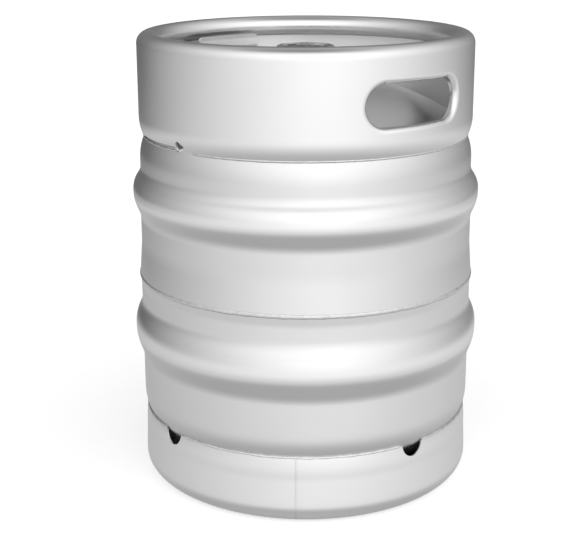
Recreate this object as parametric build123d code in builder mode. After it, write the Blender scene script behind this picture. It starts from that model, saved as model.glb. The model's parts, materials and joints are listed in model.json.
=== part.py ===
"""A 50 litre stainless beer keg with a spring valve spear, in millimetres.

Origin: middle of the foot ring, on the floor. +Z runs up the keg's axis and the
two hand slots face +X and -X.
"""

import os
from math import acos, asin, atan2, cos, degrees, radians, sin, sqrt

from build123d import *

# --- driving dimensions: vessel ---
KEG_HEIGHT = 532.0
SHELL_WALL = 1.5
GIRTH_R = 199.6
GIRTH_Z = 247.0
# Upper half: radii of the wall below and above its hoop, and the height where the wall
# begins to flare towards the girth.
UPPER_WALL_R = 196.6
UPPER_TOP_R = 195.4
UPPER_HOOP_R = 204.7
UPPER_FLARE_Z = 286.0
UPPER_SHOULDER_Z = 387.5
# Lower half.
LOWER_WALL_R = 198.3
LOWER_HOOP_R = 206.6
LOWER_FLARE_Z = 235.0
LOWER_SHOULDER_Z = 104.0
# Heights of a hoop's four corners and the fillets that round them, from the bottom up.
UPPER_HOOP_CORNERS = (320.0, 339.5, 358.0, 371.0)
UPPER_HOOP_FILLETS = (30.0, 40.0, 25.0, 20.0)
LOWER_HOOP_CORNERS = (150.0, 172.7, 194.0, 212.0)
LOWER_HOOP_FILLETS = (34.0, 51.0, 40.0, 27.0)
UPPER_FLARE_FILLET = 200.0
LOWER_FLARE_FILLET = 60.0
KNUCKLE_R = 60.0
DOME_TOP_Z = 483.0
DOME_BOTTOM_Z = 15.0
SUMP_R = 32.0
SUMP_FLOOR_R = 20.0
SUMP_FILLET = 8.0
SUMP_DEPTH = 5.0

# --- driving dimensions: chimes ---
CHIME_WALL = 1.8
UPPER_CHIME_R = 195.4
RIM_BEAD_R = 12.5
RIM_FLAT = 2.0
RIM_CURL_ANGLE = 245.0
UPPER_CURL_Z = 436.0
UPPER_CURL_R = 50.0
UPPER_CURL_ANGLE = 25.3
LOWER_CHIME_R = 197.2
LOWER_CURL_Z = 61.0
LOWER_CURL_R = 120.0
LOWER_CURL_ANGLE = 9.5
FOOT_FLARE_R = 199.4
FOOT_FLARE_Z = 55.0
FOOT_FLARE_FILLET = 150.0
FOOT_R = 22.0
FOOT_FLAT = 5.0
FOOT_CURL_R = 9.0
CHIME_WELD_WIDTH = 2.0
CHIME_WELD_HEIGHT = 1.6
GIRTH_WELD_HALF = 2.6
GIRTH_WELD_RISE = 0.9

# --- driving dimensions: hand slots, drain notches and upright seams ---
HAND_SLOT_LENGTH = 132.0
HAND_SLOT_HEIGHT = 46.5
HAND_SLOT_Z = 469.5
HAND_LIP_DEPTH = 9.0
# Grip flap: the tongue of sheet over each slot, bent inward and up to round the grip.
GRIP_WIDTH = 92.0
GRIP_RELIEF = 1.0
GRIP_BEND_R = 6.0
GRIP_TURN_R = 9.0
GRIP_FLAP_R = 160.0
GRIP_TOP_Z = 512.5
GRIP_CORNER_R = 5.0
FOOT_NOTCH_R = 14.5
FOOT_NOTCH_COUNT = 4
COLLAR_NOTCH_LENGTH = 23.0
COLLAR_NOTCH_HEIGHT = 11.5
COLLAR_NOTCH_ANGLES = (-82.0, 98.0)
COLLAR_NOTCH_FILLETS = (3.0, 4.0, 2.0)
SEAM_WIDTH = 2.4
COLLAR_SEAM_ANGLE = 84.5
FOOT_SEAM_ANGLE = -41.5

# --- driving dimensions: neck and valve spear ---
NECK_R = 34.0
NECK_TOP_Z = 514.0
NECK_BOTTOM_Z = 470.0
NECK_LEDGE_Z = 476.0
THREAD_R = 29.8
NECK_WELD_R = 2.4
NECK_WELD_RISE = 0.4
SPEAR_BODY_R = 29.75
SPEAR_TOP_Z = 513.0
SOCKET_R = 25.5
SOCKET_FLOOR_Z = 499.0
SEAT_R = 18.5
SEAT_DEPTH = 3.0
BAYONET_R = 28.0
BAYONET_HALF_ANGLE = 16.0
BAYONET_Z = 503.5
BAYONET_HEIGHT = 4.5
CHAMBER_R = 24.0
CAGE_R = 26.2
CAGE_BOTTOM_Z = 442.0
GASKET_THICK = 2.0
RETAINER_Z = 446.0
RETAINER_THICK = 2.5
RING_WIRE = 1.8
TUBE_R = 8.0
TUBE_WALL = 0.9
TUBE_BOTTOM_Z = 27.0
TUBE_TOP_Z = 468.0
CUP_FLANGE_Z = 490.0
CUP_FLANGE_R = 22.5
CUP_R = 13.5
CUP_BORE_R = 12.0
CUP_FLOOR_Z = 471.0
RUBBER_R = 23.0
RUBBER_HOLE_R = 9.8
RUBBER_BOSS_R = 17.5
RUBBER_BOSS_TOP_Z = 498.6
SEAL_GAP = 0.05
POPPET_R = 11.4
POPPET_FLANGE = 2.5
POPPET_DOME_R = 8.8
POPPET_DOME_Z = 492.0
POPPET_DOME_RISE = 5.5
POPPET_STEM_R = 5.0
POPPET_STEM_Z = 478.0
NECK_CLEARANCE = 0.4
EDGE_CHAMFER = 0.8
MOUTH_CHAMFER = 1.2
NECK_CHAMFER = 1.5
SLIP_GAP = 0.1
GAS_WINDOW = 16.0
GAS_WINDOW_Z = 454.0
RETAINER_HOLE_R = 2.6
RETAINER_HOLES_AT_R = 13.0
RETAINER_HOLE_COUNT = 6
RING_GAP = 7.0
CUP_WALL = 1.5
CUP_FLANGE_THICK = 2.0
CUP_CONE = 4.0
CUP_COLLAR = 12.0
TUBE_NOTCH_WIDTH = 5.0
TUBE_NOTCH_HEIGHT = 4.0
GAS_SPRING_R = 18.4
GAS_SPRING_WIRE = 1.3
GAS_SPRING_TURNS = 6
BEER_SPRING_R = 9.2
BEER_SPRING_WIRE = 0.6
BEER_SPRING_TURNS = 6

# Cutting tools: one that has to reach past the keg, and one that goes through a chime.
FAR = 240.0
CUT_DEPTH = 40.0


def polar(radius, angle):
    """A point in a sketch, at a distance and an angle in degrees."""
    return (radius * cos(radians(angle)), radius * sin(radians(angle)))


def crown_radius(wall_r, rise):
    """Radius of a dome's crown, tangent to the knuckle, for a wall radius and a rise."""
    return ((wall_r - KNUCKLE_R) ** 2 + rise**2 - KNUCKLE_R**2) / (2 * (rise - KNUCKLE_R))


def shoulder_angle(wall_r, rise):
    """Angle at the knuckle's centre at which the knuckle meets the crown."""
    return degrees(atan2(crown_radius(wall_r, rise) - rise, wall_r - KNUCKLE_R))


# Upper half: flared wall with its hoop, knuckle, crown, and a hole for the neck.
upper_rise = DOME_TOP_Z - UPPER_SHOULDER_Z
upper_crown_r = crown_radius(UPPER_TOP_R, upper_rise)
upper_angle = shoulder_angle(UPPER_TOP_R, upper_rise)
crown_end_angle = degrees(acos(NECK_R / 2 / upper_crown_r))
with BuildPart() as upper_shell:
    with BuildSketch(Plane.XZ):
        with BuildLine():
            FilletPolyline(
                (GIRTH_R, GIRTH_Z),
                (UPPER_WALL_R, UPPER_FLARE_Z),
                (UPPER_WALL_R, UPPER_HOOP_CORNERS[0]),
                (UPPER_HOOP_R, UPPER_HOOP_CORNERS[1]),
                (UPPER_HOOP_R, UPPER_HOOP_CORNERS[2]),
                (UPPER_TOP_R, UPPER_HOOP_CORNERS[3]),
                (UPPER_TOP_R, UPPER_SHOULDER_Z),
                radius=[UPPER_FLARE_FILLET, *UPPER_HOOP_FILLETS],
            )
            CenterArc((UPPER_TOP_R - KNUCKLE_R, UPPER_SHOULDER_Z), KNUCKLE_R, 0, upper_angle)
            CenterArc(
                (0, DOME_TOP_Z - upper_crown_r),
                upper_crown_r,
                upper_angle,
                crown_end_angle - upper_angle,
            )
            offset(amount=SHELL_WALL, side=Side.LEFT)
        make_face()
    revolve(axis=Axis.Z)
    with Locations((0, 0, DOME_TOP_Z)):
        Cylinder(NECK_R, KNUCKLE_R, mode=Mode.SUBTRACT)
    split(bisect_by=Plane.XY.offset(GIRTH_Z), keep=Keep.TOP)
upper_shell.part.label = "upper_shell"

# Lower half: the same upside down, closed at the bottom with a pressed sump.
lower_rise = LOWER_SHOULDER_Z - DOME_BOTTOM_Z
lower_crown_r = crown_radius(LOWER_WALL_R, lower_rise)
lower_angle = shoulder_angle(LOWER_WALL_R, lower_rise)
crown_centre_z = DOME_BOTTOM_Z + lower_crown_r
sump_edge_z = crown_centre_z - sqrt(lower_crown_r**2 - SUMP_R**2)
sump_floor_z = DOME_BOTTOM_Z - SUMP_DEPTH
sump_arc = degrees(asin(SUMP_R / lower_crown_r))
with BuildPart() as lower_shell:
    with BuildSketch(Plane.XZ):
        with BuildLine():
            Polyline((GIRTH_R, GIRTH_Z), (0, GIRTH_Z), (0, sump_floor_z))
            FilletPolyline(
                (0, sump_floor_z),
                (SUMP_FLOOR_R, sump_floor_z),
                (SUMP_R, sump_edge_z),
                radius=[SUMP_FILLET],
            )
            CenterArc(
                (0, crown_centre_z), lower_crown_r, sump_arc - 90, 90 - lower_angle - sump_arc
            )
            CenterArc(
                (LOWER_WALL_R - KNUCKLE_R, LOWER_SHOULDER_Z), KNUCKLE_R, -lower_angle, lower_angle
            )
            FilletPolyline(
                (LOWER_WALL_R, LOWER_SHOULDER_Z),
                (LOWER_WALL_R, LOWER_HOOP_CORNERS[0]),
                (LOWER_HOOP_R, LOWER_HOOP_CORNERS[1]),
                (LOWER_HOOP_R, LOWER_HOOP_CORNERS[2]),
                (LOWER_WALL_R, LOWER_HOOP_CORNERS[3]),
                (LOWER_WALL_R, LOWER_FLARE_Z),
                (GIRTH_R, GIRTH_Z),
                radius=[*LOWER_HOOP_FILLETS, LOWER_FLARE_FILLET],
            )
        make_face()
    revolve(axis=Axis.Z)
    offset(amount=-SHELL_WALL, openings=lower_shell.faces().sort_by(Axis.Z)[-1])
lower_shell.part.label = "lower_shell"

# Girth weld: a low bead over the joint between the halves.
upper_toe_r = GIRTH_R - (GIRTH_R - UPPER_WALL_R) * GIRTH_WELD_HALF / (UPPER_FLARE_Z - GIRTH_Z)
lower_toe_r = GIRTH_R - (GIRTH_R - LOWER_WALL_R) * GIRTH_WELD_HALF / (GIRTH_Z - LOWER_FLARE_Z)
with BuildPart() as girth_weld:
    with BuildSketch(Plane.XZ):
        with BuildLine():
            Polyline(
                (GIRTH_R, GIRTH_Z),
                (upper_toe_r, GIRTH_Z + GIRTH_WELD_HALF),
                (GIRTH_R + GIRTH_WELD_RISE, GIRTH_Z + GIRTH_WELD_HALF / 2),
                (GIRTH_R + GIRTH_WELD_RISE, GIRTH_Z - GIRTH_WELD_HALF / 2),
                (lower_toe_r, GIRTH_Z - GIRTH_WELD_HALF),
                close=True,
            )
        make_face()
    revolve(axis=Axis.Z)
girth_weld.part.label = "girth_weld"

# Drain notches: cutters for the foot ring's upper edge and the collar's lower edge.
foot_edge_z = LOWER_CURL_Z + LOWER_CURL_R * sin(radians(LOWER_CURL_ANGLE))
collar_edge_z = UPPER_CURL_Z - UPPER_CURL_R * sin(radians(UPPER_CURL_ANGLE))
with BuildPart() as foot_notches:
    with PolarLocations(LOWER_CHIME_R, FOOT_NOTCH_COUNT):
        with Locations((0, 0, foot_edge_z)):
            Cylinder(FOOT_NOTCH_R, CUT_DEPTH, rotation=(0, 90, 0))
with BuildPart() as collar_notches:
    for notch_angle in COLLAR_NOTCH_ANGLES:
        outward = Plane(
            origin=(*polar(UPPER_CHIME_R - CUT_DEPTH / 2, notch_angle), collar_edge_z),
            x_dir=(*polar(1, notch_angle + 90), 0),
            z_dir=(*polar(1, notch_angle), 0),
        )
        with BuildSketch(outward):
            with BuildLine():
                FilletPolyline(
                    (-COLLAR_NOTCH_LENGTH / 2, -COLLAR_NOTCH_HEIGHT),
                    (-COLLAR_NOTCH_LENGTH / 2, COLLAR_NOTCH_HEIGHT),
                    (-COLLAR_NOTCH_LENGTH / 4, COLLAR_NOTCH_HEIGHT),
                    (COLLAR_NOTCH_LENGTH / 2, 0),
                    (COLLAR_NOTCH_LENGTH / 2, -COLLAR_NOTCH_HEIGHT),
                    radius=COLLAR_NOTCH_FILLETS,
                )
                Line(
                    (COLLAR_NOTCH_LENGTH / 2, -COLLAR_NOTCH_HEIGHT),
                    (-COLLAR_NOTCH_LENGTH / 2, -COLLAR_NOTCH_HEIGHT),
                )
            make_face()
        extrude(amount=CUT_DEPTH)

# Upright seams: cutters as wide as the butt weld that closes each strip.
with BuildPart() as collar_slit:
    with PolarLocations(UPPER_CHIME_R, 1, start_angle=COLLAR_SEAM_ANGLE):
        with Locations((0, 0, KEG_HEIGHT)):
            Box(2 * CUT_DEPTH, SEAM_WIDTH, KEG_HEIGHT)
with BuildPart() as foot_slit:
    with PolarLocations(LOWER_CHIME_R, 1, start_angle=FOOT_SEAM_ANGLE):
        Box(2 * CUT_DEPTH, SEAM_WIDTH, KEG_HEIGHT)


def collar_outline():
    """Outer line of the collar from its welded edge up and round the rolled rim."""
    rim_z = KEG_HEIGHT - RIM_BEAD_R
    rim_r = UPPER_CHIME_R - RIM_BEAD_R
    CenterArc(
        (UPPER_CHIME_R - UPPER_CURL_R, UPPER_CURL_Z), UPPER_CURL_R, -UPPER_CURL_ANGLE, UPPER_CURL_ANGLE
    )
    Line((UPPER_CHIME_R, UPPER_CURL_Z), (UPPER_CHIME_R, rim_z))
    CenterArc((rim_r, rim_z), RIM_BEAD_R, 0, 90)
    Line((rim_r, KEG_HEIGHT), (rim_r - RIM_FLAT, KEG_HEIGHT))
    CenterArc((rim_r - RIM_FLAT, rim_z), RIM_BEAD_R, 90, RIM_CURL_ANGLE - 90)


def foot_outline():
    """Outer line of the foot ring from its rolled-under edge up to its welded edge."""
    foot_flat_r = FOOT_FLARE_R - FOOT_R
    CenterArc((foot_flat_r - FOOT_FLAT, FOOT_CURL_R), FOOT_CURL_R, 180, 90)
    FilletPolyline(
        (foot_flat_r - FOOT_FLAT, 0),
        (FOOT_FLARE_R, 0),
        (LOWER_CHIME_R, FOOT_FLARE_Z),
        (LOWER_CHIME_R, LOWER_CURL_Z),
        radius=[FOOT_R, FOOT_FLARE_FILLET],
    )
    CenterArc(
        (LOWER_CHIME_R - LOWER_CURL_R, LOWER_CURL_Z), LOWER_CURL_R, 0, LOWER_CURL_ANGLE
    )


# Hand slots: each is a stadium whose straight top edge is opened up for the grip flap's bend.
slot_top_z = HAND_SLOT_Z + HAND_SLOT_HEIGHT / 2
bend_top_z = slot_top_z + GRIP_BEND_R
flap_gap = GRIP_WIDTH + 2 * GRIP_RELIEF
with BuildPart() as flap_openings:
    with Locations((0, 0, HAND_SLOT_Z)):
        Box(2 * FAR, flap_gap, 2 * (bend_top_z - HAND_SLOT_Z))
    with Locations((0, 0, HAND_SLOT_Z - HAND_SLOT_HEIGHT)):
        Box(2 * FAR, flap_gap, 2 * HAND_SLOT_HEIGHT, mode=Mode.SUBTRACT)
with BuildPart() as hand_slots:
    with BuildSketch(Plane.YZ.offset(-FAR)):
        with Locations((0, HAND_SLOT_Z)):
            SlotOverall(HAND_SLOT_LENGTH, HAND_SLOT_HEIGHT)
    extrude(amount=2 * FAR)
    add(flap_openings.part)

# Rolled lips at the ends and bottom of the slots, trimmed to the collar's curve.
with BuildPart() as hand_lips:
    with BuildSketch(Plane.YZ.offset(-FAR)):
        with Locations((0, HAND_SLOT_Z)):
            SlotOverall(HAND_SLOT_LENGTH + 2 * CHIME_WALL, HAND_SLOT_HEIGHT + 2 * CHIME_WALL)
    extrude(amount=2 * FAR)
    add(hand_slots.part, mode=Mode.SUBTRACT)
    with Locations((0, 0, HAND_SLOT_Z)):
        Cylinder(UPPER_CHIME_R, 2 * HAND_SLOT_HEIGHT, mode=Mode.INTERSECT)
        Cylinder(UPPER_CHIME_R - HAND_LIP_DEPTH, 2 * HAND_SLOT_HEIGHT, mode=Mode.SUBTRACT)

# Grip flaps: bent in under the rim, level for a stretch, then turned up.
with BuildPart() as grip_flaps:
    with BuildSketch(Plane.XZ):
        with BuildLine():
            CenterArc((UPPER_CHIME_R - GRIP_BEND_R, bend_top_z), GRIP_BEND_R, 0, -90)
            Line((UPPER_CHIME_R - GRIP_BEND_R, slot_top_z), (GRIP_FLAP_R + GRIP_TURN_R, slot_top_z))
            CenterArc((GRIP_FLAP_R + GRIP_TURN_R, slot_top_z + GRIP_TURN_R), GRIP_TURN_R, -90, -90)
            Line((GRIP_FLAP_R, slot_top_z + GRIP_TURN_R), (GRIP_FLAP_R, GRIP_TOP_Z))
            offset(amount=CHIME_WALL, side=Side.RIGHT)
        make_face()
    revolve(axis=Axis.Z)
    with BuildSketch(Plane.YZ.offset(-FAR)):
        with Locations((0, GRIP_TOP_Z - HAND_SLOT_HEIGHT)):
            RectangleRounded(GRIP_WIDTH, 2 * HAND_SLOT_HEIGHT, GRIP_CORNER_R)
    extrude(amount=2 * FAR, mode=Mode.INTERSECT)

# Whole collar ring, before its slit and notches are cut.
with BuildPart() as collar_ring:
    with BuildSketch(Plane.XZ):
        with BuildLine():
            collar_outline()
            offset(amount=CHIME_WALL, side=Side.LEFT)
        make_face()
    revolve(axis=Axis.Z)
    add(hand_slots.part, mode=Mode.SUBTRACT)
    add(collar_notches.part, mode=Mode.SUBTRACT)

with BuildPart() as upper_chime:
    add(collar_ring.part)
    add(hand_lips.part)
    add(grip_flaps.part)
    add(collar_slit.part, mode=Mode.SUBTRACT)
upper_chime.part.label = "upper_chime"

with BuildPart() as upper_chime_seam:
    add(collar_ring.part)
    add(collar_slit.part, mode=Mode.INTERSECT)
upper_chime_seam.part.label = "upper_chime_seam"

# Foot ring, the same way.
with BuildPart() as foot_ring:
    with BuildSketch(Plane.XZ):
        with BuildLine():
            foot_outline()
            offset(amount=CHIME_WALL, side=Side.LEFT)
        make_face()
    revolve(axis=Axis.Z)
    add(foot_notches.part, mode=Mode.SUBTRACT)

with BuildPart() as lower_chime:
    add(foot_ring.part)
    add(foot_slit.part, mode=Mode.SUBTRACT)
lower_chime.part.label = "lower_chime"

with BuildPart() as lower_chime_seam:
    add(foot_ring.part)
    add(foot_slit.part, mode=Mode.INTERSECT)
lower_chime_seam.part.label = "lower_chime_seam"

# Fillet welds in the crevices between each chime's edge and the shoulder.
collar_edge_r = UPPER_CHIME_R - UPPER_CURL_R * (1 - cos(radians(UPPER_CURL_ANGLE)))
foot_edge_r = LOWER_CHIME_R - LOWER_CURL_R * (1 - cos(radians(LOWER_CURL_ANGLE)))
with BuildPart() as upper_chime_weld:
    with BuildSketch(Plane.XZ):
        with Locations((collar_edge_r, collar_edge_z)):
            Rectangle(CHIME_WELD_WIDTH, CHIME_WELD_HEIGHT, align=(Align.MAX, Align.MAX))
    revolve(axis=Axis.Z)
    add(upper_shell.part, mode=Mode.SUBTRACT)
    add(collar_ring.part, mode=Mode.SUBTRACT)
    add(collar_notches.part, mode=Mode.SUBTRACT)
upper_chime_weld.part.label = "upper_chime_weld"

with BuildPart() as lower_chime_weld:
    with BuildSketch(Plane.XZ):
        with Locations((foot_edge_r, foot_edge_z)):
            Rectangle(CHIME_WELD_WIDTH, CHIME_WELD_HEIGHT, align=(Align.MAX, Align.MIN))
    revolve(axis=Axis.Z)
    add(lower_shell.part, mode=Mode.SUBTRACT)
    add(foot_ring.part, mode=Mode.SUBTRACT)
    add(foot_notches.part, mode=Mode.SUBTRACT)
lower_chime_weld.part.label = "lower_chime_weld"

# Neck: threaded bush with a ledge for the gasket.
ledge_r = CAGE_R + NECK_CLEARANCE
with BuildPart() as neck:
    with BuildSketch(Plane.XZ):
        with BuildLine():
            Polyline(
                (NECK_R, NECK_BOTTOM_Z),
                (NECK_R, NECK_TOP_Z - NECK_CHAMFER),
                (NECK_R - NECK_CHAMFER, NECK_TOP_Z),
                (THREAD_R + EDGE_CHAMFER, NECK_TOP_Z),
                (THREAD_R, NECK_TOP_Z - EDGE_CHAMFER),
                (THREAD_R, NECK_LEDGE_Z),
                (ledge_r, NECK_LEDGE_Z),
                (ledge_r, NECK_BOTTOM_Z),
                close=True,
            )
        make_face()
    revolve(axis=Axis.Z)
neck.part.label = "neck"

neck_weld_z = DOME_TOP_Z - upper_crown_r + sqrt(upper_crown_r**2 - NECK_R**2)
with BuildPart() as neck_weld:
    with BuildSketch(Plane.XZ):
        with Locations((NECK_R + NECK_WELD_RISE, neck_weld_z + NECK_WELD_RISE)):
            Circle(NECK_WELD_R)
    revolve(axis=Axis.Z)
    add(upper_shell.part, mode=Mode.SUBTRACT)
    with Locations((0, 0, DOME_TOP_Z)):
        Cylinder(NECK_R, CUT_DEPTH, mode=Mode.SUBTRACT)
    split(bisect_by=Plane.XY.offset(neck_weld_z - SHELL_WALL / 2), keep=Keep.TOP)
neck_weld.part.label = "neck_weld"

# Gasket on the neck's ledge.
with BuildPart() as body_gasket:
    with BuildSketch(Plane.XY.offset(NECK_LEDGE_Z)):
        Circle(THREAD_R - 2 * SLIP_GAP)
        Circle(ledge_r, mode=Mode.SUBTRACT)
    extrude(amount=GASKET_THICK)
body_gasket.part.label = "body_gasket"

# Spear body: threaded head with the coupler's bayonet socket, gas seat and spring cage.
head_bottom_z = NECK_LEDGE_Z + GASKET_THICK
seat_bottom_z = SOCKET_FLOOR_Z - SEAT_DEPTH
ring_z = RETAINER_Z - RING_WIRE / 2
with BuildPart() as spear_body:
    with BuildSketch(Plane.XZ):
        with BuildLine():
            Polyline(
                (SPEAR_BODY_R, head_bottom_z),
                (SPEAR_BODY_R, SPEAR_TOP_Z - EDGE_CHAMFER),
                (SPEAR_BODY_R - EDGE_CHAMFER, SPEAR_TOP_Z),
                (SOCKET_R + MOUTH_CHAMFER, SPEAR_TOP_Z),
                (SOCKET_R, SPEAR_TOP_Z - MOUTH_CHAMFER),
                (SOCKET_R, SOCKET_FLOOR_Z),
                (SEAT_R, SOCKET_FLOOR_Z),
                (SEAT_R, seat_bottom_z),
                (CHAMBER_R, seat_bottom_z),
                (CHAMBER_R, CAGE_BOTTOM_Z),
                (CAGE_R, CAGE_BOTTOM_Z),
                (CAGE_R, head_bottom_z),
                close=True,
            )
        make_face()
        with Locations((CHAMBER_R, ring_z)):
            Rectangle(RING_WIRE, RING_WIRE, mode=Mode.SUBTRACT)
    revolve(axis=Axis.Z)
    # Bayonet: two entry slots from the mouth, and the groove the coupler's lugs turn in.
    with BuildSketch(Plane.XY.offset(BAYONET_Z)):
        with PolarLocations(0, 2):
            Polygon(
                (0, 0), polar(FAR, -BAYONET_HALF_ANGLE), polar(FAR, BAYONET_HALF_ANGLE), align=None
            )
        Circle(BAYONET_R, mode=Mode.INTERSECT)
    extrude(amount=SPEAR_TOP_Z - BAYONET_Z, mode=Mode.SUBTRACT)
    with BuildSketch(Plane.XY.offset(BAYONET_Z)):
        Circle(BAYONET_R)
        Circle(SOCKET_R, mode=Mode.SUBTRACT)
    extrude(amount=BAYONET_HEIGHT, mode=Mode.SUBTRACT)
    # Gas windows in the cage, below the neck.
    with PolarLocations(CHAMBER_R, 4, start_angle=45):
        with Locations((0, 0, GAS_WINDOW_Z)):
            Box(CHAMBER_R / 2, GAS_WINDOW, GAS_WINDOW, mode=Mode.SUBTRACT)
spear_body.part.label = "spear_body"

# Spring retainer: plate under the large spring, with gas holes and a hole for the tube.
with BuildPart() as spring_retainer:
    with BuildSketch(Plane.XY.offset(RETAINER_Z)):
        Circle(CHAMBER_R - SLIP_GAP)
        Circle(TUBE_R + 4 * SLIP_GAP, mode=Mode.SUBTRACT)
        with PolarLocations(RETAINER_HOLES_AT_R, RETAINER_HOLE_COUNT):
            Circle(RETAINER_HOLE_R, mode=Mode.SUBTRACT)
    extrude(amount=RETAINER_THICK)
spring_retainer.part.label = "spring_retainer"

# Retainer ring: split snap ring in the cage's groove.
with BuildPart() as retainer_ring:
    with BuildSketch(Plane.XY.offset(RETAINER_Z - RING_WIRE)):
        Circle(CHAMBER_R + RING_WIRE / 2 - SLIP_GAP)
        Circle(CHAMBER_R - RING_WIRE, mode=Mode.SUBTRACT)
        with Locations((CHAMBER_R, 0)):
            Rectangle(4 * RING_WIRE, RING_GAP, mode=Mode.SUBTRACT)
    extrude(amount=RING_WIRE)
retainer_ring.part.label = "retainer_ring"

# Gas valve cup: flange under the rubber, bore for the poppet, collar for the tube.
flange_low_z = CUP_FLANGE_Z - CUP_FLANGE_THICK
cone_top_z = CUP_FLOOR_Z - CUP_FLANGE_THICK
with BuildPart() as gas_valve_cup:
    with BuildSketch(Plane.XZ):
        with BuildLine():
            Polyline(
                (CUP_BORE_R, CUP_FLANGE_Z),
                (CUP_FLANGE_R, CUP_FLANGE_Z),
                (CUP_FLANGE_R, flange_low_z),
                (CUP_R, flange_low_z),
                (CUP_R, cone_top_z),
                (TUBE_R + CUP_WALL, cone_top_z - CUP_CONE),
                (TUBE_R + CUP_WALL, TUBE_TOP_Z - CUP_COLLAR),
                (TUBE_R, TUBE_TOP_Z - CUP_COLLAR),
                (TUBE_R, TUBE_TOP_Z),
                (TUBE_R - CUP_WALL, TUBE_TOP_Z),
                (TUBE_R - CUP_WALL, CUP_FLOOR_Z),
                (CUP_BORE_R, CUP_FLOOR_Z),
                close=True,
            )
        make_face()
    revolve(axis=Axis.Z)
gas_valve_cup.part.label = "gas_valve_cup"

# Gas valve seal: rubber ring that closes the gas seat outside and the poppet inside.
with BuildPart() as gas_valve_seal:
    with BuildSketch(Plane.XZ):
        with BuildLine():
            Polyline(
                (RUBBER_HOLE_R, CUP_FLANGE_Z),
                (RUBBER_R, CUP_FLANGE_Z),
                (RUBBER_R, seat_bottom_z - SEAL_GAP),
                (RUBBER_BOSS_R, seat_bottom_z - SEAL_GAP),
                (RUBBER_BOSS_R - EDGE_CHAMFER, RUBBER_BOSS_TOP_Z),
                (RUBBER_HOLE_R + MOUTH_CHAMFER, RUBBER_BOSS_TOP_Z),
                (RUBBER_HOLE_R, RUBBER_BOSS_TOP_Z - MOUTH_CHAMFER),
                close=True,
            )
        make_face()
    revolve(axis=Axis.Z)
gas_valve_seal.part.label = "gas_valve_seal"

# Beer valve: poppet with a ball-shaped head in the rubber's hole, a flange and a stem.
poppet_top_z = CUP_FLANGE_Z - SEAL_GAP
ball_r = (POPPET_DOME_R**2 + POPPET_DOME_RISE**2) / (2 * POPPET_DOME_RISE)
ball_z = POPPET_DOME_Z + POPPET_DOME_RISE - ball_r
ball_angle = degrees(atan2(POPPET_DOME_Z - ball_z, POPPET_DOME_R))
with BuildPart() as beer_valve:
    with BuildSketch(Plane.XZ):
        with BuildLine():
            Polyline(
                (0, ball_z + ball_r),
                (0, POPPET_STEM_Z),
                (POPPET_STEM_R - EDGE_CHAMFER, POPPET_STEM_Z),
                (POPPET_STEM_R, POPPET_STEM_Z + EDGE_CHAMFER),
                (POPPET_STEM_R, poppet_top_z - POPPET_FLANGE),
                (POPPET_R, poppet_top_z - POPPET_FLANGE),
                (POPPET_R, poppet_top_z),
                (POPPET_DOME_R, poppet_top_z),
                (POPPET_DOME_R, POPPET_DOME_Z),
            )
            CenterArc((0, ball_z), ball_r, ball_angle, 90 - ball_angle)
        make_face()
    revolve(axis=Axis.Z)
beer_valve.part.label = "beer_valve"

# Down tube: from the cup to just above the sump, with two notches at its foot.
with BuildPart() as down_tube:
    with BuildSketch(Plane.XY.offset(TUBE_BOTTOM_Z)):
        Circle(TUBE_R)
        Circle(TUBE_R - TUBE_WALL, mode=Mode.SUBTRACT)
    extrude(amount=TUBE_TOP_Z - TUBE_BOTTOM_Z)
    with Locations((0, 0, TUBE_BOTTOM_Z)):
        Box(4 * TUBE_R, TUBE_NOTCH_WIDTH, 2 * TUBE_NOTCH_HEIGHT, mode=Mode.SUBTRACT)
down_tube.part.label = "down_tube"

# Large spring between the retainer and the cup's flange, and small spring under the poppet.
gas_spring_low = RETAINER_Z + RETAINER_THICK + GAS_SPRING_WIRE + SLIP_GAP
gas_spring_high = flange_low_z - GAS_SPRING_WIRE - SLIP_GAP
with BuildPart() as gas_valve_spring:
    with BuildLine():
        Helix(
            (gas_spring_high - gas_spring_low) / GAS_SPRING_TURNS,
            gas_spring_high - gas_spring_low,
            GAS_SPRING_R,
            center=(0, 0, gas_spring_low),
        )
    with BuildSketch(Plane.XZ):
        with Locations((GAS_SPRING_R, gas_spring_low)):
            Circle(GAS_SPRING_WIRE)
    sweep(is_frenet=True)
gas_valve_spring.part.label = "gas_valve_spring"

beer_spring_low = CUP_FLOOR_Z + BEER_SPRING_WIRE + SLIP_GAP
beer_spring_high = poppet_top_z - POPPET_FLANGE - BEER_SPRING_WIRE - SLIP_GAP
with BuildPart() as beer_valve_spring:
    with BuildLine():
        Helix(
            (beer_spring_high - beer_spring_low) / BEER_SPRING_TURNS,
            beer_spring_high - beer_spring_low,
            BEER_SPRING_R,
            center=(0, 0, beer_spring_low),
        )
    with BuildSketch(Plane.XZ):
        with Locations((BEER_SPRING_R, beer_spring_low)):
            Circle(BEER_SPRING_WIRE)
    sweep(is_frenet=True)
beer_valve_spring.part.label = "beer_valve_spring"

os.makedirs("parts", exist_ok=True)
export_step(upper_shell.part, "parts/upper_shell.step")
export_step(lower_shell.part, "parts/lower_shell.step")
export_step(girth_weld.part, "parts/girth_weld.step")
export_step(upper_chime.part, "parts/upper_chime.step")
export_step(lower_chime.part, "parts/lower_chime.step")
export_step(upper_chime_weld.part, "parts/upper_chime_weld.step")
export_step(lower_chime_weld.part, "parts/lower_chime_weld.step")
export_step(upper_chime_seam.part, "parts/upper_chime_seam.step")
export_step(lower_chime_seam.part, "parts/lower_chime_seam.step")
export_step(neck.part, "parts/neck.step")
export_step(neck_weld.part, "parts/neck_weld.step")
export_step(body_gasket.part, "parts/body_gasket.step")
export_step(spear_body.part, "parts/spear_body.step")
export_step(spring_retainer.part, "parts/spring_retainer.step")
export_step(retainer_ring.part, "parts/retainer_ring.step")
export_step(gas_valve_cup.part, "parts/gas_valve_cup.step")
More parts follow.
